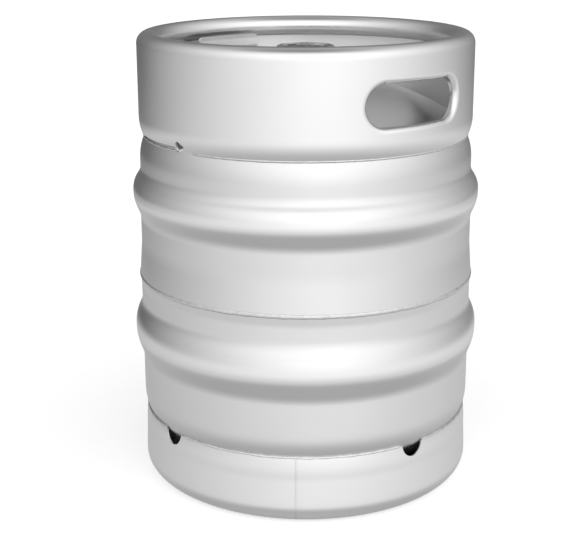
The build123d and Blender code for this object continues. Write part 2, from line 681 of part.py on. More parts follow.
export_step(gas_valve_seal.part, "parts/gas_valve_seal.step")
export_step(gas_valve_spring.part, "parts/gas_valve_spring.step")
export_step(beer_valve.part, "parts/beer_valve.step")
export_step(beer_valve_spring.part, "parts/beer_valve_spring.step")
export_step(down_tube.part, "parts/down_tube.step")
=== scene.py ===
"""The finished look of a 50 litre stainless beer keg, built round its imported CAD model.

Lengths are in millimetres: mesh_object() turns them into metres, and elsewhere MM does. A place on
the keg is an angle about +Z in degrees, a radius and a height.
"""

import json
import math

import bpy
import numpy as np
from mathutils import Matrix, Vector, noise


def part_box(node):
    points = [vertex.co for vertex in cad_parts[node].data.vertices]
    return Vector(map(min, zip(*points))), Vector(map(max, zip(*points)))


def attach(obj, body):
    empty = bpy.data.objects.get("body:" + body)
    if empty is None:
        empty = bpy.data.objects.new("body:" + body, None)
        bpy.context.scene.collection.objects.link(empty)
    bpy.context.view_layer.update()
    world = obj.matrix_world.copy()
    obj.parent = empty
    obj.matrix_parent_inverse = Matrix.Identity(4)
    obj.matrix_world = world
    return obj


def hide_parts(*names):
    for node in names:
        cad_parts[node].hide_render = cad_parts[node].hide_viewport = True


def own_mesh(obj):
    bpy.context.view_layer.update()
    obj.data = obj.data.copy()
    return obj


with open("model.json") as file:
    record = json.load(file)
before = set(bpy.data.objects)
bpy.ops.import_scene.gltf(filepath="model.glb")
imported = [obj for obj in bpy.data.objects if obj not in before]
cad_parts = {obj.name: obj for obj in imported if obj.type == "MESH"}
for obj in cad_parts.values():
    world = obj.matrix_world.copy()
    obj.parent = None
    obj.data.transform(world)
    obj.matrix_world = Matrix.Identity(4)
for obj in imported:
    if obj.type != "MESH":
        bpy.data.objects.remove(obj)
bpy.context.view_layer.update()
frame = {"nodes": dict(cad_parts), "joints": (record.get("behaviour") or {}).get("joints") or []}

MM = 0.001


def cad_mm(node):
    """Lowest and highest corner of a CAD node, in millimetres."""
    low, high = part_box(node)
    return [c / MM for c in low], [c / MM for c in high]


def grey(value):
    """A neutral colour."""
    return (value, value, value, 1.0)


# --- sizes read from the frame ---
KEG_HEIGHT = cad_mm("upper_chime")[1][2]
UPPER_HOOP_R = cad_mm("upper_shell")[1][0]
LOWER_HOOP_R = cad_mm("lower_shell")[1][0]
UPPER_CHIME_R = cad_mm("upper_chime")[1][1]
GIRTH_Z = cad_mm("upper_shell")[0][2]
SUMP_FLOOR_Z = cad_mm("lower_shell")[0][2]
NECK_R = cad_mm("neck")[1][0]
FOOT_RING_TOP_Z = cad_mm("lower_chime")[1][2]

# --- shape of the sheet steel, as in the CAD model ---
SHELL_WALL = 1.5
CHIME_WALL = 1.8
GIRTH_R = 199.6
UPPER_WALL_R = 196.6
UPPER_TOP_R = 195.4
UPPER_FLARE_Z = 286.0
UPPER_SHOULDER_Z = 387.5
LOWER_WALL_R = 198.3
LOWER_FLARE_Z = 235.0
LOWER_SHOULDER_Z = 104.0
UPPER_HOOP_CORNERS = (320.0, 339.5, 358.0, 371.0)
UPPER_HOOP_FILLETS = (30.0, 40.0, 25.0, 20.0)
LOWER_HOOP_CORNERS = (150.0, 172.7, 194.0, 212.0)
LOWER_HOOP_FILLETS = (34.0, 51.0, 40.0, 27.0)
UPPER_FLARE_FILLET = 200.0
LOWER_FLARE_FILLET = 60.0
KNUCKLE_R = 60.0
CROWN_TOP_Z = 483.0
CROWN_BOTTOM_Z = 15.0
SUMP_R = 32.0
SUMP_FLOOR_R = 20.0
SUMP_FILLET = 8.0
SUMP_CENTRE_R = 0.4
NECK_GAP = 0.2
RIM_BEAD_R = 12.5
RIM_FLAT = 2.0
RIM_CURL_ANGLE = 245.0
UPPER_CURL_Z = 436.0
UPPER_CURL_R = 50.0
UPPER_CURL_ANGLE = 25.3
LOWER_CHIME_R = 197.2
LOWER_CURL_Z = 61.0
LOWER_CURL_R = 120.0
LOWER_CURL_ANGLE = 9.5
FOOT_FLARE_R = 199.4
FOOT_FLARE_Z = 55.0
FOOT_FLARE_FILLET = 150.0
FOOT_R = 22.0
FOOT_FLAT = 5.0
FOOT_CURL_R = 9.0

# --- hand slots, drain notches, upright seams ---
# A slot is cut in a patch of sheet with its own rows and columns. The collar's edge is raised
# between two angles. A chime's outline keeps its shape beyond its fixed length from the notched edge.
HAND_SLOT_ANGLES = (0.0, 180.0)
HAND_SLOT_LENGTH = 132.0
HAND_SLOT_HEIGHT = 46.5
HAND_SLOT_Z = 469.5
HAND_LIP_R = 6.0
HAND_LIP_DEPTH = 9.0
SLOT_PATCH_ANGLE = 24.0
SLOT_PATCH_COLUMNS = 80
SLOT_PATCH_ROWS = 24
SLOT_PATCH_BELOW = 31.5
SLOT_PATCH_ABOVE = 42.0
GRIP_WIDTH = 92.0
RELIEF_START = 0.45
GRIP_TURN_R = 9.0
GRIP_FLAP_R = 160.0
GRIP_TOP_Z = 512.5
GRIP_CORNER_R = 5.0
FOOT_NOTCH_R = 14.5
FOOT_NOTCH_ANGLES = (0.0, 90.0, 180.0, 270.0)
FOOT_FIXED_LENGTH = 34.0
COLLAR_NOTCH_LENGTH = 23.0
COLLAR_NOTCH_HEIGHT = 11.5
COLLAR_NOTCH_ANGLES = (-82.0, 98.0)
COLLAR_NOTCH_STEP = 0.6
COLLAR_NOTCH_FLANK = 2.5
COLLAR_FIXED_LENGTH = 22.0
COLUMN_SPACING = 0.8
RAISED_EDGE = 4.5
RAISED_EDGE_ANGLES = (-115.0, -84.0)
COLLAR_SEAM_ANGLE = 84.5
COLLAR_SEAM = (1.3, 0.2)
FOOT_SEAM_ANGLE = -41.5
FOOT_SEAM = (1.2, 0.12)
SEAM_CLEAR = 0.05

# --- what the CAD doesn't have: how uneven the sheet is, and the ripples and shape of weld beads ---
# A bead has a half width and a half height, and lies this deep in the corner that it fills.
SHELL_UNEVEN = 0.22
CHIME_UNEVEN = 0.15
GIRTH_BEAD = (2.6, 1.0)
GIRTH_BEAD_DEEP = 0.5
CHIME_BEAD = (1.5, 1.1)
CHIME_BEAD_DEEP = 0.8
NECK_BEAD = (2.2, 1.6)
NECK_BEAD_OUT = 0.6
NECK_BEAD_UP = 0.2
WELD_PITCH = 2.6
WELD_WANDER = 0.25
WELD_STEP_ANGLE = 0.4
WELD_SIDES = 14

# --- springs: the wire's share of the coil's width, and the turns ---
WIRE_SHARE = 0.033
WIRE_SIDES = 10
TURN_STEPS = 48
GAS_SPRING_TURNS = 5
BEER_SPRING_TURNS = 6
CLOSED_TURNS = 1.0
CLOSED_PITCH = 2.05

# --- painted light inside the collar, and the finish of the hoops' worn crests and the foot ring ---
# The inside of the collar is painted light: a lighter colour stands in for light falling there, and its
# surface is also rougher.
PAINTED_LIGHT_START_Z = 478.0
PAINTED_LIGHT_FULL_Z = 490.0
PAINTED_LIGHT_END_Z = KEG_HEIGHT - 2 * RIM_BEAD_R + 0.8
PAINTED_LIGHT_ROUGHNESS = 0.36
PAINTED_LIGHT_COLOUR = grey(0.97)
WORN_BELOW = 3.6
WORN_ABOVE = 5.0
WORN_COLOUR = grey(0.84)
FOOT_COLOUR = grey(0.76)

# --- camera: where it stands, and how it is turned ---
CAMERA_POLAR = -38.5
CAMERA_DISTANCE = 1506.9
CAMERA_HEIGHT = 679.4
CAMERA_TILT = 16.07
CAMERA_YAW = -0.69
CAMERA_ROLL = -0.155
CAMERA_LENS = 79.73
SENSOR_WIDTH = 36.0

# --- light ---
# The tent round the keg: its radiance at heights in degrees above the horizon, and the share of it
# left at angles from its brightest side, which is turned from the camera's.
TENT = (
    (-90, 0.15),
    (-48, 0.0),
    (-32, 0.36),
    (-19, 0.74),
    (-6, 1.32),
    (10, 1.56),
    (40, 1.90),
    (60, 1.70),
    (74, 0.70),
    (90, 0.42),
)
TENT_TURN = 13.0
TENT_SIDES = (12.0, 150.0)
TENT_SHARES = (1.0, 0.10)
# The floor's glow comes up from every side below the horizon. At the steeper low heights a little
# of it is lost, and more of it the further round from the tent's brightest side.
FLOOR_GLOW = 0.56
FLOOR_GLOW_HEIGHTS = (-8.0, -17.0)
LOW_GLOW_HEIGHTS = (-19.0, -30.0)
LOW_GLOW_SIDES = (25.0, 110.0)
LOW_GLOW_LOST = 0.06
FLOOR_FAR = 30000.0
FLOOR_SHINE = 0.4
FOOT_SHADE_R = 165.0
FOOT_SHADE_Z = 0.2


# ------------------------------------------------------------------ outlines
def arc(centre, radius, start, sweep, steps):
    """Points on an arc in the (radius, height) plane, angles in degrees."""
    angles = np.radians(np.linspace(start, start + sweep, steps + 1))
    return [(centre[0] + radius * math.cos(a), centre[1] + radius * math.sin(a)) for a in angles]


def line(start, end, steps):
    """Evenly spaced points from start to end."""
    t = np.linspace(0, 1, steps + 1)[:, None]
    return [tuple(p) for p in np.array(start) * (1 - t) + np.array(end) * t]


def joined(*runs):
    """One outline from runs that meet, with no point twice."""
    out = []
    for run in runs:
        for p in run:
            if not out or math.dist(out[-1], p) > 1e-4:
                out.append(tuple(float(c) for c in p))
    return out


def rounded(points, radii, steps=7):
    """A polyline whose inner corners are rounded."""
    out = [points[0]]
    for before, corner, after, radius in zip(points, points[1:], points[2:], radii):
        to_before = np.subtract(before, corner) / math.dist(before, corner)
        to_after = np.subtract(after, corner) / math.dist(after, corner)
        half = math.acos(float(np.clip(to_before @ to_after, -1, 1))) / 2
        middle = (to_before + to_after) / np.linalg.norm(to_before + to_after)
        centre = np.array(corner) + middle * radius / math.sin(half)
        a = np.array(corner) + to_before * radius / math.tan(half) - centre
        b = np.array(corner) + to_after * radius / math.tan(half) - centre
        turn = math.acos(float(np.clip(a @ b / (radius * radius), -1, 1)))
        for k in range(steps + 1):
            t = k / steps
            weights = math.sin((1 - t) * turn) / math.sin(turn), math.sin(t * turn) / math.sin(turn)
            out.append(tuple(centre + weights[0] * a + weights[1] * b))
    return out + [points[-1]]


def wall_with_hoop(hoop_r, low, corners, high, radii):
    """Wall of one half from bottom to top: points below and above its rolled hoop."""
    low_r, high_r = low[-1][0], high[0][0]
    crest = [(low_r, corners[0]), (hoop_r, corners[1]), (hoop_r, corners[2]), (high_r, corners[3])]
    return filled(rounded([*low, *crest, *high], radii, 12), 6.0)


def filled(points, longest):
    """The same outline with long straight runs divided."""
    out = [points[0]]
    for a, b in zip(points, points[1:]):
        steps = max(1, math.ceil(math.dist(a, b) / longest))
        out += line(a, b, steps)[1:]
    return out


def crown_radius(wall_r, rise):
    """Radius of a dome's crown that runs smoothly into its knuckle."""
    return ((wall_r - KNUCKLE_R) ** 2 + rise**2 - KNUCKLE_R**2) / (2 * (rise - KNUCKLE_R))


def dome(wall_r, shoulder_z, apex_z, inner_r, steps=26):
    """Knuckle and crown from the shoulder to a hole of inner_r, up or down."""
    rise = abs(apex_z - shoulder_z)
    up = 1 if apex_z > shoulder_z else -1
    crown_r = crown_radius(wall_r, rise)
    turn = math.degrees(math.atan2(crown_r - rise, wall_r - KNUCKLE_R))
    last = math.degrees(math.acos(inner_r / crown_r))
    knuckle = arc((wall_r - KNUCKLE_R, 0), KNUCKLE_R, 0, turn, 16)
    crown = arc((0, rise - crown_r), crown_r, turn, last - turn, steps)
    return [(r, shoulder_z + up * z) for r, z in joined(knuckle, crown)]


def inset(points, depth):
    """The outline moved to its left by depth, for a wall's inner face."""
    p = np.array(points)
    along = np.gradient(p, axis=0)
    along /= np.linalg.norm(along, axis=1)[:, None]
    left = np.stack([-along[:, 1], along[:, 0]], 1)
    return [tuple(q) for q in p + left * depth]


# ------------------------------------------------------------------ meshes
def mesh_object(name, points_mm, faces):
    """A smooth-shaded object from points in millimetres."""
    mesh = bpy.data.meshes.new(name)
    mesh.from_pydata([tuple(p) for p in np.asarray(points_mm) * MM], [], faces)
    mesh.validate()
    mesh.update()
    obj = bpy.data.objects.new(name, mesh)
    bpy.context.scene.collection.objects.link(obj)
    mesh.shade_smooth()
    return obj


def sharpen(obj, degrees=38.0):
    """Keeps edges that turn more than this angle crisp."""
    obj.data.set_sharp_from_angle(angle=math.radians(degrees))
    return obj


def applied(obj):
    """Turns an object's modifiers into its mesh."""
    bpy.context.view_layer.update()
    graph = bpy.context.evaluated_depsgraph_get()
    mesh = bpy.data.meshes.new_from_object(obj.evaluated_get(graph))
    obj.modifiers.clear()
    obj.data = mesh
    return obj


def ripple(angle, z, seed, size=55.0):
    """Slow unevenness, from -1 to 1, round the keg and up it."""
    a = math.radians(angle)
    around = UPPER_WALL_R / size
    return noise.noise(Vector((math.cos(a) * around + seed, math.sin(a) * around, z / size)))


def dent(angle, z, seed, depth):
    """How far pressed sheet lies inside its nominal face, from 0 to depth."""
    return depth * (0.5 + 0.5 * ripple(angle, z, seed))


def turned(name, loop, columns=384, uneven=0.0, seed=1.0):
    """A closed outline turned about +Z, with a little unevenness of its wall."""
    loop = np.array(loop)
    angles = np.arange(columns) * 360.0 / columns
    points = []
    for angle in angles:
        a = math.radians(angle)
        for r, z in loop:
            r = r - (dent(angle, z, seed, uneven) if r > KNUCKLE_R else 0.0)
            points.append((r * math.cos(a), r * math.sin(a), z))
    n = len(loop)
    faces = []
    for j in range(columns):
        k = (j + 1) % columns
        for i in range(n):
            m = (i + 1) % n
            faces.append((j * n + i, k * n + i, k * n + m, j * n + m))
    return mesh_object(name, points, faces)


def place(r, angle, z):
    """A point from radius, angle in degrees and height."""
    a = math.radians(angle)
    return (r * math.cos(a), r * math.sin(a), z)


# ------------------------------------------------------------------ vessel
def shell_piece(name, outer, seed):
    """One half of the vessel as a closed wall."""
    inner = inset(outer, SHELL_WALL)[::-1]
    piece = turned(name, outer + inner, columns=360, uneven=SHELL_UNEVEN, seed=seed)
    return sharpen(piece)


def make_upper_shell():
    """Upper half: flared wall, rolled hoop, and dome up to the neck."""
    wall = wall_with_hoop(
        UPPER_HOOP_R,
        [(GIRTH_R, GIRTH_Z), (UPPER_WALL_R, UPPER_FLARE_Z)],
        UPPER_HOOP_CORNERS,
        [(UPPER_TOP_R, UPPER_SHOULDER_Z)],
        (UPPER_FLARE_FILLET, *UPPER_HOOP_FILLETS),
    )
    crown = dome(UPPER_TOP_R, UPPER_SHOULDER_Z, CROWN_TOP_Z, NECK_R + NECK_GAP)
    return shell_piece("upper_shell_skin", joined(wall, crown), 3.0)


def make_lower_shell():
    """Lower half: sump, dome, rolled hoop, and flared wall."""
    wall = wall_with_hoop(
        LOWER_HOOP_R,
        [(LOWER_WALL_R, LOWER_SHOULDER_Z)],
        LOWER_HOOP_CORNERS,
        [(LOWER_WALL_R, LOWER_FLARE_Z), (GIRTH_R, GIRTH_Z)],
        (*LOWER_HOOP_FILLETS, LOWER_FLARE_FILLET),
    )
    crown = dome(LOWER_WALL_R, LOWER_SHOULDER_Z, CROWN_BOTTOM_Z, SUMP_R)[::-1]
    floor = [(SUMP_CENTRE_R, SUMP_FLOOR_Z), (SUMP_FLOOR_R, SUMP_FLOOR_Z), crown[0]]
    sump = filled(rounded(floor, (SUMP_FILLET,)), 6.0)
    return shell_piece("lower_shell_skin", joined(sump, crown, wall), 9.0)


# ------------------------------------------------------------------ chimes
def along(path, s):
    """Point at distance s along an outline."""
    p = np.array(path)
    d = np.r_[0, np.cumsum(np.linalg.norm(np.diff(p, axis=0), axis=1))]
    return np.interp(s, d, p[:, 0]), np.interp(s, d, p[:, 1])


def column_angles(spacing, marks):
    """Angles round the ring: even, with closer ones at the marks."""
    even = np.arange(0, 360, spacing)
    extra = np.array(sorted(m % 360 for m in marks))
    keep = [a for a in even if np.abs((extra - a + 180) % 360 - 180).min() > spacing * 0.3]
    return np.array(sorted(set(np.round(np.r_[keep, extra], 5))))


def slot_ring(u, z, half_u):
    """Matches a point on the patch's edge to one on the slot: the slot's point and its normal.

    u is a distance round the ring, and z a height, from the middle of the slot.
    """
    r = HAND_SLOT_HEIGHT / 2
    a = HAND_SLOT_LENGTH / 2 - r
    half_z = SLOT_PATCH_ABOVE if z >= 0 else SLOT_PATCH_BELOW
    su, sz = (1 if u >= 0 else -1), (1 if z >= 0 else -1)
    u, z = abs(u), abs(z)
    quarter = math.pi / 4
    if u >= half_u - 1e-6:
        phi = quarter * z / half_z
        rest = 0.0
    else:
        run = (half_u - u) / half_u
        bend = quarter * (r + HAND_LIP_R)
        travelled = run * (bend + a)
        phi = quarter + min(travelled, bend) / (r + HAND_LIP_R)
        rest = max(0.0, travelled - bend)
    normal = (math.cos(phi), math.sin(phi))
    point = (a + r * normal[0] - rest, r * normal[1])
    return (su * point[0], sz * point[1]), (su * normal[0], sz * normal[1])


def slot_steps():
    """Steps from the patch's edge to the slot's inner edge, as (kind, share of the way)."""
    steps = [("flat", t) for t in np.linspace(0, 1, 6)[1:]]
    steps += [("bend", t) for t in np.linspace(0, 1, 11)[1:]]
    return steps


def flap_path():
    """The grip flap past its bend: level, then turned up, as (radius, height above the slot)."""
    top = HAND_SLOT_HEIGHT / 2
    turn_r = GRIP_FLAP_R + GRIP_TURN_R
    return joined(
        line((UPPER_CHIME_R - HAND_LIP_R, top), (turn_r, top), 3),
        arc((turn_r, top + GRIP_TURN_R), GRIP_TURN_R, -90, -90, 8),
        line((GRIP_FLAP_R, top + GRIP_TURN_R), (GRIP_FLAP_R, GRIP_TOP_Z - HAND_SLOT_Z), 10),
    )[1:]


def flap_narrowing(z):
    """Share of the flap's width left at this height above the slot, for its rounded corners."""
    over = z - (GRIP_TOP_Z - HAND_SLOT_Z - GRIP_CORNER_R)
    if over <= 0:
        return 1.0
    lost = GRIP_CORNER_R - math.sqrt(max(0.0, GRIP_CORNER_R**2 - over**2))
    return 1.0 - 2 * lost / GRIP_WIDTH


def slot_patch(columns, centre, path, low):
    """The patch of sheet round a slot: corners on its edge, their places matched, and its cells."""
    count = len(columns)
    high = low + SLOT_PATCH_ROWS
    offsets = (columns - centre + 180) % 360 - 180
    inside = [k for k in range(count) if abs(offsets[k]) <= SLOT_PATCH_ANGLE + 1e-4]
    first = min(inside, key=lambda k: offsets[k])
    last = first + len(inside) - 1
    edge = [(column, low) for column in range(first, last)]
    edge += [(last, row) for row in range(low, high)]
    edge += [(column, high) for column in range(last, first, -1)]
    edge += [(first, row) for row in range(high, low, -1)]
    matched = []
    for column, row in edge:
        u = math.radians(offsets[column % count]) * UPPER_CHIME_R
        z = path[row][1] - HAND_SLOT_Z
        matched.append(((u, z), slot_ring(u, z, math.radians(SLOT_PATCH_ANGLE) * UPPER_CHIME_R)))
    cells = {(column % count, row) for column in range(first, last) for row in range(low, high)}
    return edge, matched, cells


def add_slot(points, faces, ring, matched, centre, face_r):
    """Fills a patch round a hand slot: flat sheet, rolled lip, and the flap bent in at its top."""
    flap = [nz > 0.9 and abs(pu) <= GRIP_WIDTH / 2 for _, ((pu, _), (_, nz)) in matched]
    for k, ((u, z), ((pu, _), _)) in enumerate(matched):
        if flap[k]:
            matched[k] = (u, z), ((pu, HAND_SLOT_HEIGHT / 2), (0.0, 1.0))
    pairs = [(k, (k + 1) % len(ring)) for k in range(len(ring))]

    def add_ring(old, place_at, chosen, cut):
        """Adds the next ring of points and the faces to it; cut parts the flap from the lip."""
        new = list(old)
        for k in chosen:
            u, z, r = place_at(k)
            new[k] = len(points)
            points.append(place(r, centre + math.degrees(u / UPPER_CHIME_R), z + HAND_SLOT_Z))
        for k, m in pairs:
            if k in chosen and m in chosen and not (cut and flap[k] != flap[m]):
                faces.append((old[k], old[m], new[m], new[k]))
        return new

    everywhere = set(range(len(ring)))
    for kind, t in slot_steps():

        def at_step(k):
            """Place on the flat sheet or on the bend into the slot."""
            (u, z), ((pu, pz), (nu, nz)) = matched[k]
            if kind == "flat":
                u2, z2 = u + (pu + HAND_LIP_R * nu - u) * t, z + (pz + HAND_LIP_R * nz - z) * t
                return u2, z2, face_r(centre, u2, z2)
            turn = t * math.pi / 2
            out = HAND_LIP_R * (1 - math.sin(turn))
            u2, z2 = pu + out * nu, pz + out * nz
            return u2, z2, face_r(centre, u2, z2) - HAND_LIP_R * (1 - math.cos(turn))

        ring = add_ring(ring, at_step, everywhere, kind == "bend" and t > RELIEF_START)
    lips = {k for k in everywhere if not flap[k]}
    flaps = everywhere - lips

    def lip_end(k):
        """Place on the lip's inner edge."""
        _, ((pu, pz), _) = matched[k]
        return pu, pz, face_r(centre, pu, pz) - HAND_LIP_DEPTH

    add_ring(ring, lip_end, lips, True)
    for r, z in flap_path():

        def at_flap(k):
            """Place on the flap at this point of its path."""
            return matched[k][1][0][0] * flap_narrowing(z) * UPPER_CHIME_R / r, z, r

        ring = add_ring(ring, at_flap, flaps, True)


def strip_ring(name, path, columns, notch, fixed_length, slots=(), low=0, seed=5.0, flip=False):
    """A ring of sheet steel, made from its outer face, with notches in its first edge and slots.

    path runs from the notched edge. notch(angle) is how far that edge is cut back there, and the
    path beyond fixed_length stays as it is. low is the row of the path where a slot's patch starts.
    """
    steps = [0.0]
    for a, b in zip(path, path[1:]):
        steps.append(steps[-1] + math.dist(a, b))
    points = []
    for angle in columns:
        cut = notch(angle)
        for s in steps:
            if s < fixed_length:
                s = cut + s * (1 - cut / fixed_length)
            r, z = along(path, s)
            points.append(place(r - dent(angle, z, seed, CHIME_UNEVEN), angle, z))
    rows, count = len(path), len(columns)

    def at(column, row):
        """Number of the point in this column and row."""
        return (column % count) * rows + row

    def face_r(centre, u, z):
        """Radius of the sheet's face at a place on a slot's patch."""
        angle = centre + math.degrees(u / UPPER_CHIME_R)
        return UPPER_CHIME_R - dent(angle, z + HAND_SLOT_Z, seed, CHIME_UNEVEN)

    skipped = set()
    faces = []
    for centre in slots:
        edge, matched, cells = slot_patch(columns, centre, path, low)
        add_slot(points, faces, [at(*corner) for corner in edge], matched, centre, face_r)
        skipped |= cells
    for column in range(count):
        for row in range(rows - 1):
            if (column, row) not in skipped:
                beside = column + 1
                faces.append((at(column, row), at(beside, row), at(beside, row + 1), at(column, row + 1)))
    if flip:
        faces = [face[::-1] for face in faces]
    piece = mesh_object(name, points, faces)
    wall = piece.modifiers.new("wall", "SOLIDIFY")
    wall.thickness = CHIME_WALL * MM
    wall.offset = -1.0
    wall.use_even_offset = True
    return sharpen(applied(piece))


def collar_path():
    """Outer face of the collar from its welded edge up and round the rolled rim."""
    rim_z = KEG_HEIGHT - RIM_BEAD_R
    rim_r = UPPER_CHIME_R - RIM_BEAD_R
    patch_low, patch_high = HAND_SLOT_Z - SLOT_PATCH_BELOW, HAND_SLOT_Z + SLOT_PATCH_ABOVE
    curl_centre = (UPPER_CHIME_R - UPPER_CURL_R, UPPER_CURL_Z)
    return joined(
        arc(curl_centre, UPPER_CURL_R, -UPPER_CURL_ANGLE, UPPER_CURL_ANGLE, 10),
        line((UPPER_CHIME_R, UPPER_CURL_Z), (UPPER_CHIME_R, patch_low), 1),
        line((UPPER_CHIME_R, patch_low), (UPPER_CHIME_R, patch_high), SLOT_PATCH_ROWS),
        line((UPPER_CHIME_R, patch_high), (UPPER_CHIME_R, rim_z), 4),
        arc((rim_r, rim_z), RIM_BEAD_R, 0, 90, 12),
        line((rim_r, KEG_HEIGHT), (rim_r - RIM_FLAT, KEG_HEIGHT), 1),
        arc((rim_r - RIM_FLAT, rim_z), RIM_BEAD_R, 90, RIM_CURL_ANGLE - 90, 20),
    )


def collar_notch(angle):
    """How far the collar's edge is cut back at this angle."""
    for centre in COLLAR_NOTCH_ANGLES:
        u = math.radians((angle - centre + 180) % 360 - 180) * UPPER_CHIME_R
        half = COLLAR_NOTCH_LENGTH / 2
        if -half < u < half:
            step_u, flank_u = -half + COLLAR_NOTCH_STEP, -half + COLLAR_NOTCH_FLANK
            steep = np.interp(u, [-half, step_u, flank_u], [0, 0.8, 1.0])
            slope = np.interp(u, [-half / 2, half], [1.0, 0.0])
            return COLLAR_NOTCH_HEIGHT * min(steep, slope)
    start, end = RAISED_EDGE_ANGLES
    turn = (angle - start + 180) % 360 - 180
    return RAISED_EDGE * float(np.interp(turn, [0, 4, end - start - 2, end - start], [0, 1, 1, 0]))


def make_upper_chime():
    """The collar, with closer columns at its notches and hand slots."""
    half = COLLAR_NOTCH_LENGTH / 2
    flank = [0, 0.3, COLLAR_NOTCH_STEP, 1.5, COLLAR_NOTCH_FLANK]
    marks = []
    for centre in COLLAR_NOTCH_ANGLES:
        for u in [*flank, *np.linspace(4, COLLAR_NOTCH_LENGTH, 12)]:
            marks.append(centre + math.degrees((u - half) / UPPER_CHIME_R))
    for centre in HAND_SLOT_ANGLES:
        marks += list(centre + np.linspace(-SLOT_PATCH_ANGLE, SLOT_PATCH_ANGLE, SLOT_PATCH_COLUMNS + 1))
    path = collar_path()
    patch_low = (UPPER_CHIME_R, HAND_SLOT_Z - SLOT_PATCH_BELOW)
    low = min(range(len(path)), key=lambda k: math.dist(path[k], patch_low))
    return strip_ring(
        "upper_chime_skin",
        path,
        column_angles(COLUMN_SPACING, marks),
        collar_notch,
        COLLAR_FIXED_LENGTH,
        slots=HAND_SLOT_ANGLES,
        low=low,
    )


def foot_path():
    """Outer face of the foot ring from its welded edge down and round under the foot."""
    flat_r = FOOT_FLARE_R - FOOT_R
    curl_centre = (LOWER_CHIME_R - LOWER_CURL_R, LOWER_CURL_Z)
    wall = [
        (LOWER_CHIME_R, LOWER_CURL_Z),
        (LOWER_CHIME_R, FOOT_FLARE_Z),
        (FOOT_FLARE_R, 0),
        (flat_r - FOOT_FLAT, 0),
    ]
    return joined(
        arc(curl_centre, LOWER_CURL_R, LOWER_CURL_ANGLE, -LOWER_CURL_ANGLE, 8),
        filled(rounded(wall, (FOOT_FLARE_FILLET, FOOT_R), 16), 6.0),
        arc((flat_r - FOOT_FLAT, FOOT_CURL_R), FOOT_CURL_R, -90, -90, 10),
    )


def foot_notch(angle):
    """How far the foot ring's edge is cut back at this angle."""
    for centre in FOOT_NOTCH_ANGLES:
        u = math.radians((angle - centre + 180) % 360 - 180) * LOWER_CHIME_R
        if abs(u) < FOOT_NOTCH_R:
            return math.sqrt(FOOT_NOTCH_R**2 - u * u)
    return 0.0


def make_lower_chime():
    """The foot ring, with closer columns at its notches."""
    marks = []
    for centre in FOOT_NOTCH_ANGLES:
        for t in np.linspace(0, math.pi, 29):
            marks.append(centre + math.degrees(FOOT_NOTCH_R * math.cos(t) / LOWER_CHIME_R))
    return strip_ring(
        "lower_chime_skin",
        foot_path(),
        column_angles(COLUMN_SPACING, marks),
        foot_notch,
        FOOT_FIXED_LENGTH,
        seed=12.0,
        flip=True,
    )


# ------------------------------------------------------------------ welds
def bead(name, centre_r, centre_z, size, lean, spans, seed, scallop=0.12):
    """A weld bead round the keg: an oval rope with ripples, in one or more spans of angles."""
    half_width, half_height = size
    around = WELD_SIDES
    points = []
    faces = []
    for start, end in spans:
        steps = int((end - start) / WELD_STEP_ANGLE)
        whole = end - start >= 360
        rings = steps if whole else steps + 1
        base = len(points)
        for k in range(rings):
            angle = start + (end - start) * k / steps
            wave = 1 + scallop * math.sin(math.radians(angle) * centre_r / WELD_PITCH * 2 * math.pi)
            wave += WELD_WANDER * ripple(angle, seed * 31, seed, 9.0)
            if not whole:
                wave *= min(1.0, 0.35 + 0.65 * math.sin(min(1.0, min(k, steps - k) / 5) * math.pi / 2))
            drift = WELD_WANDER * ripple(angle, seed * 57, seed, 22.0)
            for i in range(around):
                t = 2 * math.pi * i / around
                across, out = half_width * wave * math.cos(t), half_height * wave * math.sin(t)
                r = centre_r + out * math.cos(lean) - across * math.sin(lean)
                z = centre_z + drift + out * math.sin(lean) + across * math.cos(lean)
                points.append(place(r, angle, z))
        for k in range(rings if whole else rings - 1):
            for i in range(around):
                a, b = base + k * around, base + (k + 1) % rings * around
                m = (i + 1) % around
                faces.append((a + i, a + m, b + m, b + i))
        if not whole:
            faces.append(tuple(base + i for i in range(around)))
            faces.append(tuple(base + (rings - 1) * around + i for i in range(around))[::-1])
    return mesh_object(name, points, faces)


def spans_between(angles, half_width, radius):
    """Stretches of angle between cut-outs of this half width."""
    gap = math.degrees(half_width / radius)
    angles = sorted(angles)
    after = angles[1:] + [angles[0] + 360]
    return [(a + gap, b - gap) for a, b in zip(angles, after)]


def make_girth_weld():
    """The bead between the two halves of the vessel."""
    r = GIRTH_R - GIRTH_BEAD_DEEP
    return bead("girth_weld_bead", r, GIRTH_Z, GIRTH_BEAD, 0.0, [(0, 360)], 2.0, 0.05)


def make_upper_chime_weld():
    """The bead under the collar, broken at its notches."""
    centre = (UPPER_CHIME_R - UPPER_CURL_R, UPPER_CURL_Z)
    r, z = arc(centre, UPPER_CURL_R, -UPPER_CURL_ANGLE, 0, 1)[0]
    spans = spans_between(COLLAR_NOTCH_ANGLES, COLLAR_NOTCH_LENGTH / 2, r)
    deep = CHIME_BEAD_DEEP
    return bead("upper_chime_weld_bead", r - deep, z - deep, CHIME_BEAD, -0.5, spans, 4.0, 0.08)


def make_lower_chime_weld():
    """The bead over the foot ring, broken at its notches."""
    centre = (LOWER_CHIME_R - LOWER_CURL_R, LOWER_CURL_Z)
    r, z = arc(centre, LOWER_CURL_R, LOWER_CURL_ANGLE, 0, 1)[0]
    spans = spans_between(FOOT_NOTCH_ANGLES, FOOT_NOTCH_R, r)
    deep = CHIME_BEAD_DEEP
    return bead("lower_chime_weld_bead", r - deep, z + deep, CHIME_BEAD, 0.5, spans, 6.0, 0.08)


